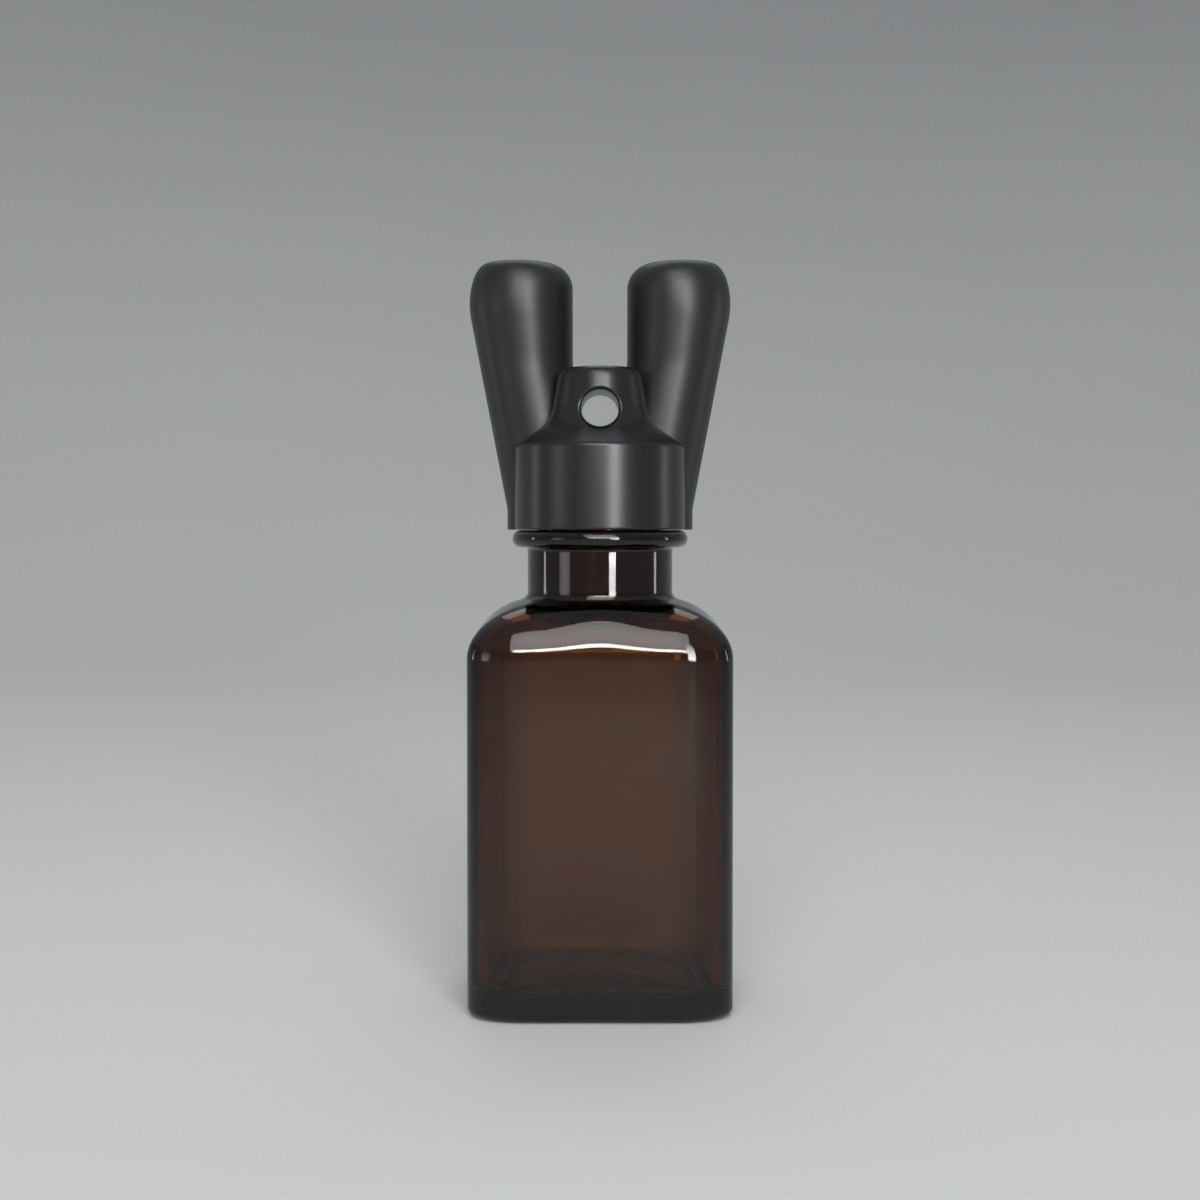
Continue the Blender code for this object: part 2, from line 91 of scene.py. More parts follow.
def arc(centre: Point, radii: Point, start: float, end: float, steps: int) -> Outline:
    """Points on part of an ellipse, with both its ends.

    Args:
        centre: Middle of the ellipse, across and up.
        radii: Its two half axes.
        start: First angle in degrees, from the axis across.
        end: Last angle in degrees.
        steps: How many stretches the arc has.

    Returns:
        The points in order.
    """
    points = []
    for step in range(steps + 1):
        angle = math.radians(start + (end - start) * step / steps)
        across = centre[0] + radii[0] * math.cos(angle)
        up = centre[1] + radii[1] * math.sin(angle)
        points.append((across, up))
    return points


def bend(centre: Point, radius: float, start: float, end: float, steps: int) -> Outline:
    """An arc of a circle: arc() with one radius."""
    return arc(centre, (radius, radius), start, end, steps)


def straight(first: Point, last: Point, steps: int) -> Outline:
    """Points on a straight line, without its ends.

    Args:
        first: Where the line starts.
        last: Where it ends.
        steps: How many stretches the line has.

    Returns:
        The points in order.
    """
    points = []
    for step in range(1, steps):
        share = step / steps
        across = first[0] + (last[0] - first[0]) * share
        points.append((across, first[1] + (last[1] - first[1]) * share))
    return points


def wall_levels(start: float, end: float, steps: int) -> list[float]:
    """Levels along a straight wall between two curves, without its ends.

    The first and the last lie close to the ends, so that smooth shading keeps the wall straight.

    Args:
        start: Level where the wall starts.
        end: Level where it ends.
        steps: How many stretches lie between the first and the last.

    Returns:
        The levels in order.
    """
    margin = math.copysign(END_MARGIN, end - start)
    first, last = start + margin, end - margin
    return [first + (last - first) * step / steps for step in range(steps + 1)]


def smooth_step(low: float, high: float, value: float) -> float:
    """Goes smoothly from 0 at low to 1 at high.

    Args:
        low: Where the rise starts.
        high: Where it ends.
        value: Where it is read.

    Returns:
        The share from 0 to 1.
    """
    share = min(max((value - low) / (high - low), 0.0), 1.0)
    return share * share * (3.0 - 2.0 * share)


def level_circle(radius: float, height: float, count: int, x: float = 0.0, y: float = 0.0) -> Ring:
    """A level circle of points.

    Args:
        radius: The circle's radius.
        height: Its height.
        count: How many points it has.
        x: Its middle along X.
        y: Its middle along Y.

    Returns:
        The points, anticlockwise from +X.
    """
    ring = []
    for step in range(count):
        angle = math.tau * step / count
        ring.append(Vector((x + radius * math.cos(angle), y + radius * math.sin(angle), height)))
    return ring


class Bench:
    """The modelling moves that the pieces share."""

    @staticmethod
    def skin(name: str, rings: list[Ring]) -> bpy.types.Object:
        """Raises a closed skin: a circle is extruded ring by ring, and each new ring is shaped.

        Args:
            name: The piece's name.
            rings: Rings with equally many points, from one closed end to the other.

        Returns:
            The piece, with its faces pointing out.
        """
        bpy.ops.object.select_all(action="DESELECT")
        bpy.ops.mesh.primitive_circle_add(vertices=len(rings[0]), radius=MM, fill_type="NOTHING")
        piece = bpy.context.object
        piece.name = name
        piece.data.name = name
        bpy.ops.object.mode_set(mode="EDIT")
        bpy.ops.mesh.select_all(action="SELECT")
        built = bmesh.from_edit_mesh(piece.data)
        place = built.verts.layers.int.new("place")
        for index, vert in enumerate(built.verts):
            vert[place] = index
            vert.co = rings[0][index]
        bmesh.update_edit_mesh(piece.data)
        for ring in rings[1:]:
            bpy.ops.mesh.extrude_region_move()
            built = bmesh.from_edit_mesh(piece.data)
            place = built.verts.layers.int["place"]
            for vert in built.verts:
                if vert.select:
                    vert.co = ring[vert[place]]
            bmesh.update_edit_mesh(piece.data)
        bpy.ops.mesh.select_all(action="SELECT")
        bpy.ops.mesh.fill_holes(sides=0)
        bpy.ops.mesh.select_all(action="DESELECT")
        bpy.ops.mesh.select_face_by_sides(number=4, type="GREATER")
        bpy.ops.mesh.poke()
        bpy.ops.mesh.select_all(action="SELECT")
        bpy.ops.mesh.normals_make_consistent(inside=False)
        bpy.ops.object.mode_set(mode="OBJECT")
        piece.data.attributes.remove(piece.data.attributes["place"])
        return piece

    @staticmethod
    def turned(name: str, outline: Outline, count: int, lift: float = 0.0) -> bpy.types.Object:
        """Turns an outline of (radius, height) points about Z.

        Args:
            name: The piece's name.
            outline: Points whose first and last radius are closed over with a fan.
            count: Points round the piece.
            lift: How far the whole outline is raised.

        Returns:
            The turned piece.
        """
        rings = [level_circle(radius, height + lift, count) for radius, height in outline]
        return Bench.skin(name, rings)

    @staticmethod
    def join(pieces: list[bpy.types.Object]) -> bpy.types.Object:
        """Joins pieces into the first of them.

        Args:
            pieces: The pieces.

        Returns:
            The first piece, which now holds them all.
        """
        bpy.ops.object.select_all(action="DESELECT")
        for piece in pieces:
            piece.select_set(True)
        bpy.context.view_layer.objects.active = pieces[0]
        bpy.ops.object.join()
        return pieces[0]

    @staticmethod
    def carve(piece: bpy.types.Object, helper: bpy.types.Object, cut: Cut) -> None:
        """Adds or takes a helper solid, which is used up.

        Args:
            piece: The piece that changes.
            helper: The helper solid.
            cut: Whether it is added or taken.
        """
        modifier = piece.modifiers.new("carve", "BOOLEAN")
        modifier.operation = cut.value
        modifier.solver = "EXACT"
        modifier.object = helper
        bpy.ops.object.select_all(action="DESELECT")
        piece.select_set(True)
        bpy.context.view_layer.objects.active = piece
        bpy.ops.object.modifier_apply(modifier=modifier.name)
        bpy.data.objects.remove(helper)

    @staticmethod
    def smooth(piece: bpy.types.Object, degrees: float) -> None:
        """Shades a piece smooth, except at edges sharper than an angle.

        Args:
            piece: The piece.
            degrees: The angle.
        """
        bpy.ops.object.select_all(action="DESELECT")
        piece.select_set(True)
        bpy.context.view_layer.objects.active = piece
        bpy.ops.object.shade_smooth_by_angle(angle=math.radians(degrees))

    @staticmethod
    def finish(
        piece: bpy.types.Object, material: bpy.types.Material, body: str, node: str, slot: str
    ) -> None:
        """Dresses a piece and lets it stand for its solid.

        Args:
            piece: The piece.
            material: Its material.
            body: The body that it rides on.
            node: The solid that it stands for.
            slot: The record's material slot; not used.
        """
        piece.data.materials.clear()
        piece.data.materials.append(material)
        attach(piece, body)
        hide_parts(node)
        LOG.info("%s: %d faces, rides on %s", piece.name, len(piece.data.polygons), body)


@dataclass(frozen=True)
class Grain:
    """A noise: features per metre, octaves, and how strong the finer octaves are."""

    scale: float
    detail: float
    roughness: float = 0.5


class Nodes:
    """A short way to lay out a material's nodes."""

    def __init__(self, name: str) -> None:
        """Starts a material with a Principled shader and Object coordinates.

        Args:
            name: The material's name.
        """
        self.material = bpy.data.materials.new(name)
        self.material.use_nodes = True
        self.tree = self.material.node_tree
        self.shader = self.tree.nodes["Principled BSDF"]
        self.output = self.tree.nodes["Material Output"]
        self.coordinates = self.tree.nodes.new("ShaderNodeTexCoord").outputs["Object"]

    def noise(self, grain: Grain) -> Socket:
        """Noise on Object coordinates.

        Args:
            grain: The noise's settings.

        Returns:
            The noise's value.
        """
        node = self.tree.nodes.new("ShaderNodeTexNoise")
        node.inputs["Scale"].default_value = grain.scale
        node.inputs["Detail"].default_value = grain.detail
        node.inputs["Roughness"].default_value = grain.roughness
        self.tree.links.new(self.coordinates, node.inputs["Vector"])
        return node.outputs["Fac"]

    def spread(self, value: Socket, ends: Span) -> Socket:
        """Maps a value from 0 to 1 onto a range.

        Args:
            value: The value.
            ends: What 0 and 1 give.

        Returns:
            The mapped value.
        """
        node = self.tree.nodes.new("ShaderNodeMapRange")
        node.inputs["To Min"].default_value, node.inputs["To Max"].default_value = ends
        self.tree.links.new(value, node.inputs["Value"])
        return node.outputs["Result"]

    def blend(self, value: Socket, first: Colour, second: Colour) -> Socket:
        """Blends two colours by a value.

        Args:
            value: 0 gives the first colour and 1 the second.
            first: One colour.
            second: The other.

        Returns:
            The blended colour.
        """
        node = self.tree.nodes.new("ShaderNodeMix")
        node.data_type = "RGBA"
        node.inputs["A"].default_value = (*first, 1.0)
        node.inputs["B"].default_value = (*second, 1.0)
        self.tree.links.new(value, node.inputs["Factor"])
        return node.outputs["Result"]

    def seam(self, half_width: float) -> Socket:
        """A thin ridge where the mould's halves met, along the plane through the axis at Y = 0.

        Args:
            half_width: Half the ridge's width in metres.

        Returns:
            1 on the ridge and 0 beside it.
        """
        split = self.tree.nodes.new("ShaderNodeSeparateXYZ")
        self.tree.links.new(self.coordinates, split.inputs["Vector"])
        away = self.tree.nodes.new("ShaderNodeMath")
        away.operation = "ABSOLUTE"
        self.tree.links.new(split.outputs["Y"], away.inputs[0])
        ridge = self.tree.nodes.new("ShaderNodeMapRange")
        ridge.interpolation_type = "SMOOTHSTEP"
        ridge.inputs["From Min"].default_value = half_width
        ridge.inputs["From Max"].default_value = 0.0
        self.tree.links.new(away.outputs["Value"], ridge.inputs["Value"])
        return ridge.outputs["Result"]

    def bump(self, value: Socket, distance: float) -> None:
        """Adds relief to the shader's normal, on top of any that is there.

        Args:
            value: The relief.
            distance: Its height in metres.
        """
        node = self.tree.nodes.new("ShaderNodeBump")
        node.inputs["Distance"].default_value = distance
        node.inputs["Strength"].default_value = 1.0
        self.tree.links.new(value, node.inputs["Height"])
        earlier = self.shader.inputs["Normal"]
        if earlier.is_linked:
            self.tree.links.new(earlier.links[0].from_socket, node.inputs["Normal"])
        self.tree.links.new(node.outputs["Normal"], earlier)

    def feed(self, value: Socket, socket: str) -> None:
        """Links a value to one of the shader's sockets."""
        self.tree.links.new(value, self.shader.inputs[socket])


@dataclass(frozen=True)
class AmberGlass:
    """Clear amber bottle glass: colour from its depth, a fire-polished skin with faint waves."""

    index: float = 1.52
    colour: Colour = (0.66, 0.465, 0.003)
    density: float = 1650.0
    polish: Span = (0.0, 0.012)
    polish_grain: Grain = Grain(60.0, 3.0)
    waves: Grain = Grain(90.0, 1.0)
    wave_height: float = 0.012 * MM
    seam_half: float = 0.12 * MM
    seam_height: float = 0.05 * MM

    def make(self) -> bpy.types.Material:
        """Builds the material.

        Returns:
            The glass, with absorption inside it.
        """
        nodes = Nodes("amber_glass")
        nodes.shader.inputs["Base Color"].default_value = (1.0, 1.0, 1.0, 1.0)
        nodes.shader.inputs["Transmission Weight"].default_value = 1.0
        nodes.shader.inputs["IOR"].default_value = self.index
        nodes.feed(nodes.spread(nodes.noise(self.polish_grain), self.polish), "Roughness")
        nodes.bump(nodes.noise(self.waves), self.wave_height)
        nodes.bump(nodes.seam(self.seam_half), self.seam_height)
        inside = nodes.tree.nodes.new("ShaderNodeVolumeAbsorption")
        inside.inputs["Color"].default_value = (*self.colour, 1.0)
        inside.inputs["Density"].default_value = self.density
        nodes.tree.links.new(inside.outputs["Volume"], nodes.output.inputs["Volume"])
        return nodes.material


@dataclass(frozen=True)
class SatinPlastic:
    """Black moulded plastic with a spark-eroded grain and slightly uneven gloss."""

    name: str
    gloss: Span
    grain: Grain
    grain_height: float
    index: float = 1.5
    dark: Colour = (0.0045, 0.005, 0.006)
    light: Colour = (0.008, 0.0085, 0.0095)
    clouds: Grain = Grain(140.0, 4.0, 0.6)
    gloss_grain: Grain = Grain(420.0, 5.0, 0.65)

    def make(self) -> bpy.types.Material:
        """Builds the material.

        Returns:
            The plastic.
        """
        nodes = Nodes(self.name)
        nodes.shader.inputs["IOR"].default_value = self.index
        cloud = nodes.noise(self.clouds)
        nodes.feed(nodes.blend(cloud, self.dark, self.light), "Base Color")
        nodes.feed(nodes.spread(nodes.noise(self.gloss_grain), self.gloss), "Roughness")
        nodes.bump(nodes.noise(self.grain), self.grain_height)
        return nodes.material


CAP_PLASTIC = SatinPlastic(
    name="cap_plastic",
    gloss=(0.27, 0.34),
    grain=Grain(5200.0, 3.0, 0.6),
    grain_height=0.004 * MM,
)
NOZZLE_PLASTIC = SatinPlastic(
    name="nozzle_plastic",
    gloss=(0.37, 0.44),
    grain=Grain(6500.0, 3.0, 0.6),
    grain_height=0.003 * MM,
)


@dataclass(frozen=True)
class LinerFoam:
    """Off-white closed foam with fine cells; each cell's hollow is painted darker, as painted
    shade.
    """

    # The colour at the bottom of each cell's hollow: painted shade.
    shade: Colour = (0.62, 0.61, 0.56)
    bright: Colour = (0.8, 0.79, 0.75)
    gloss: Span = (0.7, 0.9)
    gloss_grain: Grain = Grain(900.0, 2.0)
    cell_scale: float = 4200.0
    cell_depth: float = 0.03 * MM

    def make(self) -> bpy.types.Material:
        """Builds the material.

        Returns:
            The foam.
        """
        nodes = Nodes("liner_foam")
        cells = nodes.tree.nodes.new("ShaderNodeTexVoronoi")
        cells.inputs["Scale"].default_value = self.cell_scale
        nodes.tree.links.new(nodes.coordinates, cells.inputs["Vector"])
        # The cells' pits from the bump also set the colour: painted shade darkens each cell's
        # hollow.
        nodes.feed(nodes.blend(cells.outputs["Distance"], self.shade, self.bright), "Base Color")
        nodes.feed(nodes.spread(nodes.noise(self.gloss_grain), self.gloss), "Roughness")
        nodes.bump(cells.outputs["Distance"], self.cell_depth)
        return nodes.material


@dataclass(frozen=True)
class SweepPaper:
    """Pale matt paper with a faint cloud."""

    shade: Colour = (0.62, 0.63, 0.63)
    bright: Colour = (0.66, 0.67, 0.67)
    clouds: Grain = Grain(3.0, 2.0)
    roughness: float = 0.8

    def make(self) -> bpy.types.Material:
        """Builds the material.

        Returns:
            The paper.
        """
        nodes = Nodes("sweep_paper")
        paper = nodes.blend(nodes.noise(self.clouds), self.shade, self.bright)
        nodes.feed(paper, "Base Color")
        nodes.shader.inputs["Roughness"].default_value = self.roughness
        return nodes.material


@dataclass(frozen=True)
class ScrewThread:
    """A right-handed single-start thread, as relief on a round wall."""

    pitch: float = 3.175 * MM
    start_height: float = 0.0
    turns: float = 1.3
    height: float = 1.0 * MM
    crest_half: float = 0.32 * MM
    flank: float = 0.62 * MM
    fade_turns: float = 0.12

    def relief(self, angle: float, height: float) -> float:
        """How far the thread stands out of the wall.

        Args:
            angle: Direction round the axis in radians.
            height: Height in metres.

        Returns:
            The relief in metres.
        """
        most = 0.0
        along = (angle / math.tau) % 1.0
        while along <= self.turns:
            middle = self.start_height + along * self.pitch
            away = abs(height - middle)
            side = 1.0 - smooth_step(self.crest_half, self.crest_half + self.flank, away)
            rise = smooth_step(0.0, self.fade_turns, along)
            fall = 1.0 - smooth_step(self.turns - self.fade_turns, self.turns, along)
            most = max(most, self.height * side * rise * fall)
            along += 1.0
        return most


@dataclass
class GlassBottle:
    """The bottle, one piece of glass: oblong body, shoulder, neck, bead and threaded finish."""

    corner_along_front: float = 6.5 * MM
    corner_along_side: float = 4.0 * MM
    wall: float = 2.0 * MM
    base_thickness: float = 2.6 * MM
    heel_radius: float = 1.3 * MM
    inner_heel_radius: float = 1.8 * MM
    contact_band: float = 1.2 * MM
    push_up: float = 1.4 * MM
    shoulder_start: float = 42.8 * MM
    shoulder_reach: float = 9.0 * MM
    shoulder_rise: float = 7.2 * MM
    shoulder_arch: float = 0.75
    neck_radius: float = 9.0 * MM
    neck_fillet: float = 1.0 * MM
    neck_fillet_start: float = 258.0
    neck_fillet_rise: float = 0.8
    neck_length: float = 6.2 * MM
    bead_radius: float = 10.9 * MM
    bead_thickness: float = 2.15 * MM
    bead_fillet: float = 0.4 * MM
    finish_radius: float = 7.9 * MM
    rim_round: float = 0.6 * MM
    mouth_round: float = 0.5 * MM
    bore_radius: float = 5.6 * MM
    thread_start: float = 2.1 * MM
    side_steps: int = 15
    corner_steps: int = 20
    front_steps: int = 18
    wall_steps: int = 8
    neck_steps: int = 3
    dome_steps: int = 10
    heel_steps: int = 10
    inner_heel_steps: int = 9
    shoulder_steps: int = 32
    inner_shoulder_steps: int = 24
    entry_steps: int = 8
    fillet_steps: int = 7
    bead_fillet_steps: int = 5
    bead_steps: int = 16
    finish_steps: int = 60
    rim_steps: int = 8
    mouth_steps: int = 7
    smooth_degrees: float = 60.0

    def __post_init__(self) -> None:
        """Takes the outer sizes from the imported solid."""
        low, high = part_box("glass_bottle")
        self.half_width = (high[0] - low[0]) / 2
        self.half_depth = (high[1] - low[1]) / 2
        self.rim_height = high[2]
        self.shoulder_centre = self.half_width - self.shoulder_reach
        self.directions = [point.normalized() for point in self.plan(0.0)]
        self.neck_ways = [self.neck_way(direction) for direction in self.directions]

    def neck_way(self, direction: Vector) -> Vector:
        """The way on the neck that a direction of the body runs to.

        Each flat wall takes more of the neck and each corner less, which arches the shoulder.

        Args:
            direction: From the axis to a point of the body's plan.

        Returns:
            The unit vector on the neck.
        """
        walls = 4
        angle = math.atan2(direction.y, direction.x)
        angle += self.shoulder_arch / walls * math.sin(walls * angle)
        return Vector((math.cos(angle), math.sin(angle)))

    def plan(self, inset: float) -> list[Vector]:
        """The body's level outline.

        Args:
            inset: How far it is moved in from the outer wall.

        Returns:
            The outline's points, anticlockwise from +X.
        """
        half_width = self.half_width - inset
        half_depth = self.half_depth - inset
        corner_x = self.corner_along_front * half_width / self.half_width
        corner_y = self.corner_along_side * half_depth / self.half_depth
        flat_x = half_width - corner_x
        flat_y = half_depth - corner_y
        quarter = [(half_width, flat_y * step / self.side_steps) for step in range(self.side_steps)]
        quarter += arc((flat_x, flat_y), (corner_x, corner_y), 0.0, 90.0, self.corner_steps)
        for step in range(1, self.front_steps + 1):
            quarter.append((flat_x * (1.0 - step / self.front_steps), half_depth))
        half = quarter + [(-x, y) for x, y in reversed(quarter[1:-1])]
        return [Vector(point) for point in half] + [Vector((-x, -y)) for x, y in half]

    def body_ring(self, height: float, inset: float) -> Ring:
        """A ring of the body's plan at a height."""
        return [point.to_3d() + Vector((0.0, 0.0, height)) for point in self.plan(inset)]

    def dome_ring(self, foot: float, inset: float, share: float) -> Ring:
        """A ring of the push-up, rounder and higher the nearer it is to the middle.

        Args:
            foot: Height at the push-up's edge.
            inset: How far its edge is moved in.
            share: The ring's size as a share of the edge's.

        Returns:
            The ring.
        """
        height = foot + self.push_up * (1.0 - share * share)
        radius = self.half_depth - inset
        ring = []
        for direction, point in zip(self.directions, self.plan(inset)):
            place = (direction * radius).lerp(point, share) * share
            ring.append(Vector((place.x, place.y, height)))
        return ring

    def blended_ring(self, reach: float, height: float, inset: float, neck: float) -> Ring:
        """A ring between the neck's circle and the body's plan.

        Args:
            reach: Where the ring meets the X axis.
            height: Its height.
            inset: How far the body's plan is moved in.
            neck: The circle's radius.

        Returns:
            The ring.
        """
        share = (reach - neck) / (self.half_width - inset - neck)
        ring = []
        for way, point in zip(self.neck_ways, self.plan(inset)):
            place = (way * neck).lerp(point, share)
            ring.append(Vector((place.x, place.y, height)))
        return ring

    def round_ring(self, radius: float, height: float) -> Ring:
        """A circle on the neck's ways."""
        return [Vector((way.x * radius, way.y * radius, height)) for way in self.neck_ways]

    def threaded_ring(self, height: float, thread: ScrewThread) -> Ring:
        """A ring of the finish's wall with the thread's relief.

        Args:
            height: The ring's height.
            thread: The thread on the wall.

        Returns:
            The ring.
        """
        ring = []
        for way in self.neck_ways:
            angle = math.atan2(way.y, way.x)
            radius = self.finish_radius + thread.relief(angle, height)
            ring.append(Vector((way.x * radius, way.y * radius, height)))
        return ring

    def outside(self) -> list[Ring]:
        """Rings from the middle of the base to the top of the rim.

        Returns:
            The rings in order.
        """
        contact = self.heel_radius + self.contact_band
        steps = self.dome_steps
        rings = [self.dome_ring(0.0, contact, step / steps) for step in range(1, steps + 1)]
        heel = bend((0.0, self.heel_radius), self.heel_radius, -90.0, 0.0, self.heel_steps)
        rings += [self.body_ring(up, self.heel_radius - across) for across, up in heel]
        wall = wall_levels(self.heel_radius, self.shoulder_start, self.wall_steps)
        rings += [self.body_ring(up, 0.0) for up in wall]
        end = math.degrees(
            math.acos((self.neck_radius - self.shoulder_centre) / self.shoulder_reach)
        )
        shoulder = arc(
            (self.shoulder_centre, self.shoulder_start),
            (self.shoulder_reach, self.shoulder_rise),
            0.0,
            end,
            self.shoulder_steps,
        )
        neck_start = shoulder[-1][1]
        kept = [point for point in shoulder if point[0] > self.neck_radius + self.neck_fillet]
        rings += [self.blended_ring(reach, up, 0.0, self.neck_radius) for reach, up in kept]
        foot = neck_start + self.neck_fillet * self.neck_fillet_rise
        fillet = bend(
            (self.neck_radius + self.neck_fillet, foot),
            self.neck_fillet,
            self.neck_fillet_start,
            180.0,
            self.fillet_steps,
        )
        rings += [self.blended_ring(reach, up, 0.0, self.neck_radius) for reach, up in fillet]
        bead_start = neck_start + self.neck_length
        bead_end = bead_start + self.bead_thickness
        nose = self.bead_thickness / 2
        under_centre = (self.neck_radius + self.bead_fillet, bead_start - self.bead_fillet)
        under = bend(under_centre, self.bead_fillet, 180.0, 90.0, self.bead_fillet_steps)
        bead_centre = (self.bead_radius - nose, bead_start + nose)
        bead = bend(bead_centre, nose, -90.0, 90.0, self.bead_steps)
        neck = wall_levels(fillet[-1][1], under[0][1], self.neck_steps)
        rings += [self.round_ring(self.neck_radius, up) for up in neck]
        rings += [self.round_ring(radius, up) for radius, up in under + bead]
        thread = ScrewThread(start_height=bead_end + self.thread_start)
        wall_end = self.rim_height - self.rim_round
        for step in range(self.finish_steps + 1):
            up = bead_end + (wall_end - bead_end) * step / self.finish_steps
            rings.append(self.threaded_ring(up, thread))
        rim_centre = (self.finish_radius - self.rim_round, wall_end)
        rim = bend(rim_centre, self.rim_round, 0.0, 90.0, self.rim_steps)
        rings += [self.round_ring(radius, up) for radius, up in rim[1:]]
        return rings

    def inside(self) -> list[Ring]:
        """Rings from the mouth down the bore to the middle of the floor.

        Returns:
            The rings in order.
        """
        radii = (self.shoulder_reach - self.wall, self.shoulder_rise - self.wall)
        top = self.shoulder_start + radii[1]
        entry_radius = self.shoulder_centre - self.bore_radius
        mouth_centre = (self.bore_radius + self.mouth_round, self.rim_height - self.mouth_round)
        mouth = bend(mouth_centre, self.mouth_round, 90.0, 180.0, self.mouth_steps)
        rings = [self.round_ring(across, up) for across, up in mouth]
        entry_centre = (self.shoulder_centre, top + entry_radius)
        entry = bend(entry_centre, entry_radius, 180.0, 270.0, self.entry_steps)
        centre = (self.shoulder_centre, self.shoulder_start)
        shoulder = arc(centre, radii, 90.0, 0.0, self.inner_shoulder_steps)
        bore = wall_levels(mouth[-1][1], entry[0][1], self.neck_steps)
        rings += [self.round_ring(self.bore_radius, up) for up in bore]
        for reach, up in entry + shoulder[1:]:
            rings.append(self.blended_ring(reach, up, self.wall, self.bore_radius))
        heel_level = self.base_thickness + self.inner_heel_radius
        wall = wall_levels(self.shoulder_start, heel_level, self.wall_steps)
        rings += [self.body_ring(up, self.wall) for up in wall]
        floor_inset = self.wall + self.inner_heel_radius
        centre = (0.0, heel_level)
        heel = bend(centre, self.inner_heel_radius, 0.0, -90.0, self.inner_heel_steps)
        rings += [self.body_ring(up, floor_inset - across) for across, up in heel]
        for step in range(self.dome_steps - 1, 0, -1):
            rings.append(self.dome_ring(self.base_thickness, floor_inset, step / self.dome_steps))
        return rings

    def build(self) -> bpy.types.Object:
        """Models and dresses the bottle.

        Returns:
            The finished piece.
        """
        piece = Bench.skin("bottle_glass", self.outside() + self.inside())
        Bench.smooth(piece, self.smooth_degrees)
        Bench.finish(piece, AmberGlass().make(), "bottle", "glass_bottle", "amber_glass")
        return piece


@dataclass
class NozzlePair:
    """The two nostril nozzles' common shape, in their front view."""

    back_offset: float = 6.0 * MM
    reach: float = 11.83 * MM
    collar_height: float = 2.6 * MM
    lean_degrees: float = 10.8
    bend_height: float = 21.0 * MM
    bend_blend: float = 1.0 * MM
    pair_gap: float = 0.3 * MM
    nose_gap: float = 6.94 * MM
    flank_blend: float = 2.0 * MM
    outer_round_width: float = 2.3 * MM
    outer_round_height: float = 5.1 * MM
    inner_round_width: float = 3.13 * MM
    inner_round_height: float = 3.2 * MM
    tip_bore_radius: float = 3.1 * MM
    tip_bore_round: float = 0.35 * MM
    socket_past_spigot: float = 0.6 * MM
    round_count: int = 96

    def __post_init__(self) -> None:
        """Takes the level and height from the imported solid."""
        low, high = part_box("nozzle_right")
        self.level = low[2]
        self.height = high[2] - low[2]

    def outer_flank(self, height: float) -> float:
        """X of the outer edge at a height.

        Args:
            height: Height above the skirt's lower edge.

        Returns:
            The edge's X on the right-hand nozzle.
        """
        lean = math.tan(math.radians(self.lean_degrees))
        round_start = self.height - self.outer_round_height
        blend_start = round_start - self.flank_blend
        leaning = max(min(height, blend_start) - self.collar_height, 0.0) * lean
        blend = min(max(height - blend_start, 0.0), self.flank_blend)
        leaning += lean * (blend - blend * blend / (2 * self.flank_blend))
        share = max(height - round_start, 0.0) / self.outer_round_height
        rounding = self.outer_round_width * (1.0 - math.sqrt(max(1.0 - share * share, 0.0)))
        return self.reach + leaning - rounding

    def inner_flank(self, height: float) -> float:
        """X of the edge towards the twin at a height.

        Args:
            height: Height above the skirt's lower edge.

        Returns:
            The edge's X on the right-hand nozzle.
        """
        low = self.pair_gap / 2
        high = self.nose_gap / 2
        climb = (high - low) / (self.bend_height - self.collar_height)
        past = height - self.bend_height
        if past < -self.bend_blend:
            flank = high + climb * max(past, self.collar_height - self.bend_height)
        else:
            short = max(self.bend_blend - past, 0.0)
            flank = high - climb * short * short / (4 * self.bend_blend)
        share = max(height - self.height + self.inner_round_height, 0.0) / self.inner_round_height
        rounding = self.inner_round_width * (1.0 - math.sqrt(max(1.0 - share * share, 0.0)))
        return flank + rounding

    def tube_centre(self, height: float) -> float:
        """X of the middle between the two flanks."""
        return (self.outer_flank(height) + self.inner_flank(height)) / 2

    def bore_centre(self, height: float) -> float:
        """X of the bore, which leans with the tube and stands upright under the tip.

        Args:
            height: Height above the skirt's lower edge.

        Returns:
            The X of the bore's middle on the right-hand nozzle.
        """
        foot = self.tube_centre(self.collar_height)
        bend = self.tube_centre(self.bend_height)
        climb = (height - self.collar_height) / (self.bend_height - self.collar_height)
        return min(foot + (bend - foot) * climb, self.tube_centre(self.height))

    def bore_ring(self, radius: float, height: float, side: Side, count: int) -> Ring:
        """A circle on the bore's line.

        Args:
            radius: The circle's radius.
            height: Its height above the skirt's lower edge.
            side: Which nozzle.
            count: Points round it.

        Returns:
            The ring in the object's frame.
        """
        x = side.value * self.bore_centre(height)
        return level_circle(radius, self.level + height, count, x, self.back_offset)


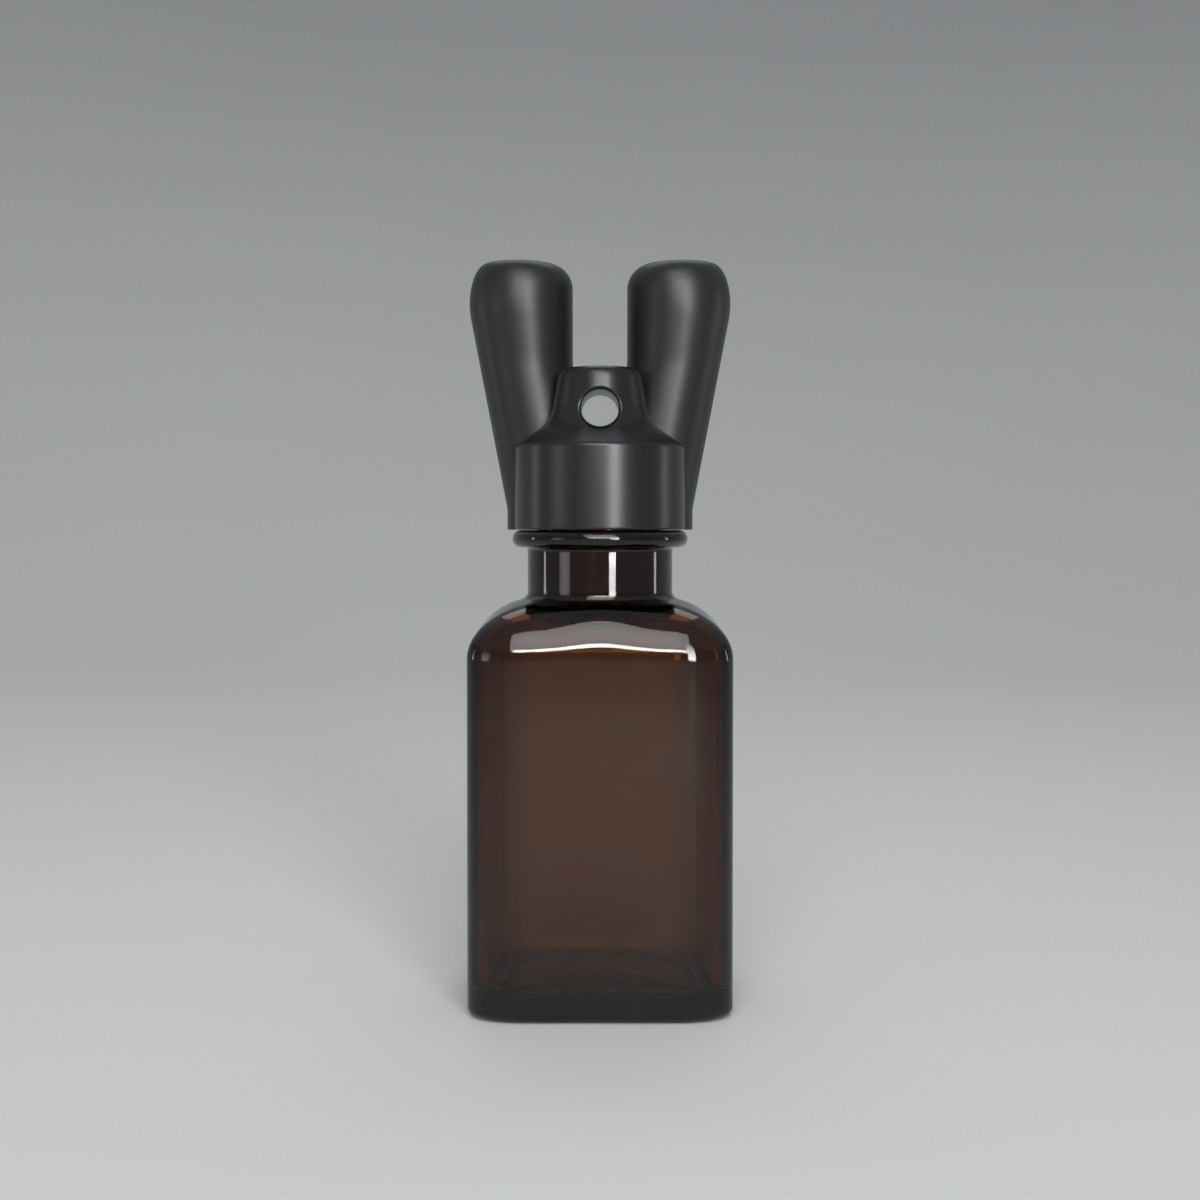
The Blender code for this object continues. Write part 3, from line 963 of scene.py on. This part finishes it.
@dataclass
class ScrewCap:
    """The cap moulding: threaded skirt, bell, post with the lanyard hole, spigots.

    The thread's start puts it just under the glass's thread, which it bears on, and clear of it.
    """

    nozzles: NozzlePair
    skirt_height: float = 10.0 * MM
    skirt_edge: float = 0.5 * MM
    lip_round: float = 0.25 * MM
    skirt_radius: float = 10.53 * MM
    bore_radius: float = 9.2 * MM
    deck_level: float = 9.4 * MM
    bell_slope: float = 36.0
    bell_fillet: float = 4.9 * MM
    post_root: float = 5.75 * MM
    post_draft: float = 9.0
    post_round: float = 1.3 * MM
    hole_height: float = 14.75 * MM
    hole_radius: float = 2.3 * MM
    hole_round: float = 0.55 * MM
    hole_rim_start: float = 252.0
    chamber_radius: float = 5.0 * MM
    chamber_top_radius: float = 4.4 * MM
    chamber_height: float = 1.8 * MM
    passage_radius: float = 1.0 * MM
    passage_rise: float = 2.0 * MM
    spigot_radius: float = 3.3 * MM
    spigot_bore: float = 1.9 * MM
    spigot_foot: float = 10.7 * MM
    spigot_bore_foot: float = 11.6 * MM
    spigot_top: float = 17.3 * MM
    spigot_round: float = 0.4 * MM
    seat_gap: float = 0.04 * MM
    thread_start: float = 0.8 * MM
    thread_height: float = 0.85 * MM
    overrun: float = 1.0 * MM
    bore_steps: int = 58
    lip_steps: int = 5
    skirt_steps: int = 4
    edge_steps: int = 8
    cone_steps: int = 14
    fillet_steps: int = 22
    post_steps: int = 12
    top_steps: int = 12
    top_shares: tuple[float, ...] = (0.75, 0.5, 0.25)
    hole_rim_steps: int = 8
    spigot_steps: int = 5
    round_count: int = 144
    hole_count: int = 64
    spigot_count: int = 48
    spigot_bore_count: int = 36
    passage_count: int = 32
    smooth_degrees: float = 40.0

    def __post_init__(self) -> None:
        """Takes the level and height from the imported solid."""
        low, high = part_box("screw_cap")
        self.level = low[2]
        self.top = high[2] - low[2]

    def outline(self) -> Outline:
        """The outer outline from the skirt's upper edge to the post's flat top.

        Returns:
            Its points as radius and height.
        """
        slope = math.radians(self.bell_slope)
        draft = math.radians(self.post_draft)
        edge_centre = (self.skirt_radius - self.skirt_edge, self.skirt_height)
        edge_end = 90.0 - self.bell_slope
        edge = bend(edge_centre, self.skirt_edge, 0.0, edge_end, self.edge_steps)
        centre_r = self.post_root + self.bell_fillet * math.cos(draft)
        start_r = centre_r - self.bell_fillet * math.sin(slope)
        start_z = edge[-1][1] + (edge[-1][0] - start_r) * math.tan(slope)
        cone = straight(edge[-1], (start_r, start_z), self.cone_steps)
        fillet = bend(
            (centre_r, start_z + self.bell_fillet * math.cos(slope)),
            self.bell_fillet,
            270.0 - self.bell_slope,
            180.0 + self.post_draft,
            self.fillet_steps,
        )
        round_z = self.top - self.post_round
        post_rise = round_z - fillet[-1][1]
        round_r = self.post_root - post_rise * math.tan(draft) - self.post_round
        top_centre = (round_r, round_z)
        top = bend(top_centre, self.post_round, self.post_draft, 90.0, self.top_steps)
        post = straight(fillet[-1], top[0], self.post_steps)
        return edge + cone + fillet + post + top

    def threaded_ring(self, height: float, thread: ScrewThread) -> Ring:
        """A ring of the cap's bore with its thread.

        Args:
            height: The ring's height above the skirt's lower edge.
            thread: The thread in the bore.

        Returns:
            The ring.
        """
        ring = []
        for point in level_circle(1.0, 0.0, self.round_count):
            angle = math.atan2(point.y, point.x)
            radius = self.bore_radius - thread.relief(angle, height)
            ring.append(Vector((point.x * radius, point.y * radius, self.level + height)))
        return ring

    def shell(self) -> bpy.types.Object:
        """The turned moulding before the spigots and the holes.

        Returns:
            The moulding.
        """
        chamber_top = self.deck_level + self.chamber_height
        roof = [
            (self.chamber_top_radius / 2, chamber_top),
            (self.chamber_top_radius, chamber_top),
            (self.chamber_radius, self.deck_level),
            (self.bore_radius, self.deck_level),
        ]
        count = self.round_count
        rings = [level_circle(across, self.level + up, count) for across, up in roof]
        thread = ScrewThread(start_height=self.thread_start, height=self.thread_height)
        lip = self.lip_round
        for step in range(1, self.bore_steps + 1):
            up = self.deck_level + (lip - self.deck_level) * step / self.bore_steps
            rings.append(self.threaded_ring(up, thread))
        inner_lip = bend((self.bore_radius + lip, lip), lip, 180.0, 270.0, self.lip_steps)
        outer_lip = bend((self.skirt_radius - lip, lip), lip, 270.0, 360.0, self.lip_steps)
        levels = wall_levels(lip, self.skirt_height, self.skirt_steps)
        skirt = [(self.skirt_radius, up) for up in levels]
        outline = self.outline()
        flat = [(outline[-1][0] * share, self.top) for share in self.top_shares]
        for across, up in inner_lip[1:] + outer_lip + skirt + outline + flat:
            rings.append(level_circle(across, self.level + up, count))
        return Bench.skin("cap_moulding", rings)

    def radius_at(self, height: float) -> float:
        """The bell's or the post's outer radius at a height.

        Args:
            height: Height above the skirt's lower edge.

        Returns:
            The radius, which is the skirt's below the bell.
        """
        outline = self.outline()
        for lower, upper in zip(outline, outline[1:]):
            if lower[1] <= height <= upper[1] and upper[1] > lower[1]:
                share = (height - lower[1]) / (upper[1] - lower[1])
                return lower[0] + (upper[0] - lower[0]) * share
        return self.skirt_radius

    def mouth_ring(self, radius: float, sink: float) -> Ring:
        """A ring of the lanyard hole's front mouth, sunk below the cap's surface.

        Args:
            radius: The ring's radius about the hole's axis.
            sink: How deep it lies below the surface.

        Returns:
            The ring.
        """
        ring = []
        for step in range(self.hole_count):
            angle = math.tau * step / self.hole_count
            x = radius * math.cos(angle)
            z = self.hole_height + radius * math.sin(angle)
            surface = math.sqrt(self.radius_at(z) ** 2 - x * x)
            ring.append(Vector((x, sink - surface, self.level + z)))
        return ring

    def hole_helper(self) -> bpy.types.Object:
        """The cutter of the lanyard hole, with rims rounded over along the post's surface.

        Returns:
            The cutter.
        """
        centre = (self.hole_radius + self.hole_round, self.hole_round)
        rim = bend(centre, self.hole_round, self.hole_rim_start, 180.0, self.hole_rim_steps)
        front = [self.mouth_ring(rim[0][0], -self.overrun)]
        front += [self.mouth_ring(radius, sink) for radius, sink in rim]
        back = [[Vector((p.x, -p.y, p.z)) for p in ring] for ring in reversed(front)]
        return Bench.skin("hole_helper", front + back)

    def spigot_helper(self, side: Side) -> bpy.types.Object:
        """One spigot on the rear of the bell.

        Args:
            side: Which nozzle it carries.

        Returns:
            The spigot.
        """
        count = self.spigot_count
        radius = self.spigot_radius
        rings = [self.nozzles.bore_ring(radius, self.spigot_foot, side, count)]
        centre = (radius - self.spigot_round, self.spigot_top - self.spigot_round)
        top = bend(centre, self.spigot_round, 0.0, 90.0, self.spigot_steps)
        rings += [self.nozzles.bore_ring(across, up, side, count) for across, up in top]
        return Bench.skin(f"spigot_{side.name.lower()}", rings)

    def spigot_bore_helper(self, side: Side) -> bpy.types.Object:
        """The bore down one spigot.

        Args:
            side: Which spigot.

        Returns:
            The cutter.
        """
        ends = (self.spigot_bore_foot, self.spigot_top + self.overrun)
        count = self.spigot_bore_count
        rings = [self.nozzles.bore_ring(self.spigot_bore, up, side, count) for up in ends]
        return Bench.skin(f"spigot_bore_{side.name.lower()}", rings)

    def passage_helper(self, side: Side) -> bpy.types.Object:
        """The sloping way from the vapour chamber to one spigot's bore.

        Args:
            side: Which spigot.

        Returns:
            The cutter.
        """
        end_height = self.spigot_bore_foot + self.passage_radius
        x = side.value * self.nozzles.bore_centre(end_height)
        end = Vector((x, self.nozzles.back_offset, self.level + end_height))
        outward = Vector((end.x, end.y, 0.0)).normalized()
        start = outward * (self.chamber_top_radius - self.passage_radius / 2)
        start.z = end.z - self.passage_rise
        along = end - start
        bpy.ops.object.select_all(action="DESELECT")
        bpy.ops.mesh.primitive_cylinder_add(
            vertices=self.passage_count,
            radius=self.passage_radius,
            depth=along.length,
            location=(start + end) / 2,
            rotation=along.to_track_quat("Z", "Y").to_euler(),
        )
        return bpy.context.object

    def seat_helper(self) -> bpy.types.Object:
        """The cap's outside with the seat gap round it, which the nozzles are scalloped to fit.

        Returns:
            The cutter.
        """
        points = [(self.skirt_radius, 0.0)] + self.outline()
        moved = []
        for index, point in enumerate(points):
            before = Vector(points[max(index - 1, 0)])
            after = Vector(points[min(index + 1, len(points) - 1)])
            along = (after - before).normalized()
            across = point[0] + along.y * self.seat_gap
            moved.append((across, point[1] - along.x * self.seat_gap))
        foot = [(moved[0][0] / 2, -self.overrun), (moved[0][0], -self.overrun)]
        return Bench.turned("nozzle_seat", foot + moved, self.round_count, self.level)

    def build(self) -> bpy.types.Object:
        """Models and dresses the cap.

        Returns:
            The finished piece.
        """
        piece = self.shell()
        Bench.carve(piece, Bench.join([self.spigot_helper(side) for side in Side]), Cut.ADD)
        bores = [self.spigot_bore_helper(side) for side in Side]
        Bench.carve(piece, Bench.join(bores + [self.hole_helper()]), Cut.TAKE)
        Bench.carve(piece, Bench.join([self.passage_helper(side) for side in Side]), Cut.TAKE)
        Bench.smooth(piece, self.smooth_degrees)
        Bench.finish(piece, CAP_PLASTIC.make(), "cap", "screw_cap", "cap_plastic")
        return piece


@dataclass
class Nozzle:
    """One nostril nozzle, scalloped to sit against the cap."""

    shape: NozzlePair
    cap: ScrewCap
    side: Side
    collar_steps: int = 4
    tube_steps: int = 72
    dome_steps: int = 22
    mouth_steps: int = 6
    bore_steps: int = 24
    smooth_degrees: float = 40.0

    def rings(self) -> list[Ring]:
        """Rings from the foot up the outside, over the tip and down the bore.

        Returns:
            The rings in order.
        """
        shape = self.shape
        collar = shape.collar_height
        heights = [collar * step / self.collar_steps for step in range(self.collar_steps)]
        dome_start = shape.height - shape.inner_round_height
        for step in range(self.tube_steps):
            heights.append(collar + (dome_start - collar) * (step / self.tube_steps))
        for step in range(self.dome_steps + 1):
            angle = math.radians(90.0 * step / self.dome_steps)
            heights.append(dome_start + shape.inner_round_height * math.sin(angle))
        rings = []
        for height in heights:
            radius = (shape.outer_flank(height) - shape.inner_flank(height)) / 2
            x = self.side.value * shape.tube_centre(height)
            level = shape.level + height
            rings.append(level_circle(radius, level, shape.round_count, x, shape.back_offset))
        socket = self.cap.spigot_radius + self.cap.seat_gap
        socket_top = self.cap.spigot_top + shape.socket_past_spigot
        edge = shape.tip_bore_round
        mouth_centre = (shape.tip_bore_radius + edge, shape.height - edge)
        mouth = bend(mouth_centre, edge, 90.0, 180.0, self.mouth_steps)
        bore = list(mouth)
        for step in range(1, self.bore_steps + 1):
            up = mouth[-1][1] + (socket_top - mouth[-1][1]) * step / self.bore_steps
            bore.append((shape.tip_bore_radius, up))
        bore.append((socket, socket_top - (socket - shape.tip_bore_radius)))
        bore.append((socket, self.cap.spigot_foot - self.cap.seat_gap))
        for across, up in bore:
            rings.append(shape.bore_ring(across, up, self.side, shape.round_count))
        return rings

    def build(self, material: bpy.types.Material) -> bpy.types.Object:
        """Models and dresses the nozzle.

        Args:
            material: The nozzles' finish.

        Returns:
            The finished piece.
        """
        word = self.side.name.lower()
        piece = Bench.skin(f"nostril_nozzle_{word}", self.rings())
        Bench.carve(piece, self.cap.seat_helper(), Cut.TAKE)
        Bench.smooth(piece, self.smooth_degrees)
        Bench.finish(piece, material, "cap", f"nozzle_{word}", "nozzle_plastic")
        return piece


@dataclass
class Liner:
    """The foam ring between the glass rim and the cap's deck."""

    edge_round: float = 0.15 * MM
    edge_steps: int = 3
    hole_radius: float = 3.0 * MM
    round_count: int = 96
    smooth_degrees: float = 40.0

    def build(self) -> bpy.types.Object:
        """Models and dresses the liner.

        Returns:
            The finished piece.
        """
        low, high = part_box("seal_liner")
        outer = high[0]
        bpy.ops.object.select_all(action="DESELECT")
        bpy.ops.mesh.primitive_cylinder_add(
            vertices=self.round_count,
            radius=outer,
            depth=high[2] - low[2],
            location=(0.0, 0.0, (low[2] + high[2]) / 2),
            end_fill_type="NGON",
        )
        piece = bpy.context.object
        piece.name = "liner_ring"
        bpy.ops.object.transform_apply(location=True, rotation=True, scale=True)
        bpy.ops.object.mode_set(mode="EDIT")
        bpy.ops.mesh.select_mode(type="FACE")
        bpy.ops.mesh.select_all(action="DESELECT")
        bpy.ops.mesh.select_face_by_sides(number=4, type="GREATER")
        bpy.ops.mesh.inset(thickness=outer - self.hole_radius)
        bpy.ops.mesh.bridge_edge_loops()
        bpy.ops.mesh.select_mode(type="VERT")
        bpy.ops.object.mode_set(mode="OBJECT")
        bevel = piece.modifiers.new("soft_edges", "BEVEL")
        bevel.width = self.edge_round
        bevel.segments = self.edge_steps
        bevel.limit_method = "ANGLE"
        bpy.ops.object.modifier_apply(modifier=bevel.name)
        Bench.smooth(piece, self.smooth_degrees)
        Bench.finish(piece, LinerFoam().make(), "liner", "seal_liner", "liner_foam")
        return piece


@dataclass(frozen=True)
class SoftBox:
    """One soft area lamp: its place, size, power, beam angle in degrees and aim."""

    name: str
    place: Place
    size: tuple[float, float]
    power: float
    beam: float = 180.0
    aim: Aim = Aim.OBJECT
    object_middle: float = 45.0 * MM

    def build(self) -> None:
        """Adds the lamp."""
        data = bpy.data.lights.new(self.name, "AREA")
        data.shape = "RECTANGLE"
        data.size, data.size_y = self.size
        data.energy = self.power
        data.spread = math.radians(self.beam)
        lamp = bpy.data.objects.new(self.name, data)
        lamp.location = self.place
        height = self.place[2] if self.aim is Aim.LEVEL else self.object_middle
        toward = Vector((0.0, 0.0, height)) - Vector(self.place)
        lamp.rotation_euler = toward.to_track_quat("-Z", "Y").to_euler()
        bpy.context.scene.collection.objects.link(lamp)


LAMPS = (
    SoftBox("front_strip", (0.0, -0.60, 0.24), (0.30, 0.06), 0.166, 70.0),
    SoftBox("front_card", (0.0, -0.615, 0.55), (0.50, 0.61), 1.3, 110.0),
    SoftBox("right_key", (0.19, -0.545, 0.22), (0.105, 0.36), 0.351, 70.0, Aim.LEVEL),
    SoftBox("key_foot", (0.19, -0.545, 0.0305), (0.105, 0.019), 0.0049, 40.0, Aim.LEVEL),
    SoftBox("left_card", (-0.52, -0.34, 0.2025), (0.20, 0.395), 0.0224, 40.0, Aim.LEVEL),
    SoftBox("left_edge", (-0.60, 0.07, 0.2025), (0.05, 0.395), 0.0127, 40.0, Aim.LEVEL),
    SoftBox("right_edge", (0.60, 0.07, 0.2025), (0.05, 0.395), 0.0165, 40.0, Aim.LEVEL),
    SoftBox("back_fill", (0.0, 0.70, 1.10), (1.00, 0.50), 2.2),
)


@dataclass
class Studio:
    """The pale round sweep, the lamps and the camera where the photograph was taken from."""

    floor_radius: float = 0.45
    sweep_radius: float = 1.3
    sweep_degrees: float = 65.0
    sweep_steps: int = 26
    round_count: int = 128
    camera_distance: float = 207.4 * MM
    camera_height: float = 58.5 * MM
    camera_tilt: float = 1.26
    lens: float = 50.0
    sensor: float = 36.0
    clip_start: float = 10.0 * MM
    photo_size: float = 1200.0
    shift_rows: float = 36.0
    sky_colour: Colour = (0.94, 0.97, 1.0)
    sky_strength: float = 0.34

    def sweep(self) -> None:
        """A floor disc whose rim curves up into a backdrop all round."""
        bpy.ops.object.select_all(action="DESELECT")
        bpy.ops.mesh.primitive_circle_add(
            vertices=self.round_count, radius=self.floor_radius, fill_type="TRIFAN"
        )
        piece = bpy.context.object
        piece.name = "sweep"
        bpy.ops.object.mode_set(mode="EDIT")
        bpy.ops.mesh.select_all(action="DESELECT")
        bpy.ops.mesh.select_non_manifold()
        centre = (self.floor_radius, self.sweep_radius)
        end = self.sweep_degrees - 90.0
        rise = bend(centre, self.sweep_radius, -90.0, end, self.sweep_steps)
        for radius, height in rise[1:]:
            bpy.ops.mesh.extrude_region_move()
            built = bmesh.from_edit_mesh(piece.data)
            for vert in built.verts:
                if vert.select:
                    way = vert.co.xy.normalized() * radius
                    vert.co = (way.x, way.y, height)
            bmesh.update_edit_mesh(piece.data)
        bpy.ops.mesh.select_all(action="SELECT")
        bpy.ops.mesh.normals_make_consistent(inside=True)
        bpy.ops.mesh.faces_shade_smooth()
        bpy.ops.object.mode_set(mode="OBJECT")
        piece.data.materials.append(SweepPaper().make())

    def light(self) -> None:
        """Soft lamps in front, at both sides and behind, and an even pale world.

        The low lamps have narrow beams, aimed level, which keeps them off the floor.
        """
        world = bpy.data.worlds.new("studio")
        world.use_nodes = True
        sky = world.node_tree.nodes["Background"]
        sky.inputs["Color"].default_value = (*self.sky_colour, 1.0)
        sky.inputs["Strength"].default_value = self.sky_strength
        bpy.context.scene.world = world
        for lamp in LAMPS:
            lamp.build()

    def shoot(self) -> None:
        """The camera, nearly level, with a small shift for the photograph's framing."""
        data = bpy.data.cameras.new("photo_view")
        data.lens = self.lens
        data.sensor_width = self.sensor
        data.clip_start = self.clip_start
        data.shift_y = -self.shift_rows / self.photo_size
        camera = bpy.data.objects.new("photo_view", data)
        camera.location = (0.0, -self.camera_distance, self.camera_height)
        camera.rotation_euler = (math.radians(90.0 - self.camera_tilt), 0.0, 0.0)
        bpy.context.scene.collection.objects.link(camera)
        bpy.context.scene.camera = camera

    def build(self) -> None:
        """Sets up the stage."""
        self.sweep()
        self.light()
        self.shoot()
        bpy.context.scene.view_settings.view_transform = "Standard"


def main() -> None:
    """Builds every piece in order, then the studio."""
    logging.basicConfig(level=logging.INFO, format="%(name)s: %(message)s")
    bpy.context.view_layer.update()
    nozzles = NozzlePair()
    cap = ScrewCap(nozzles)
    GlassBottle().build()
    Liner().build()
    cap.build()
    plastic = NOZZLE_PLASTIC.make()
    for side in Side:
        Nozzle(nozzles, cap, side).build(plastic)
    Studio().build()


if __name__ == "__main__":
    main()
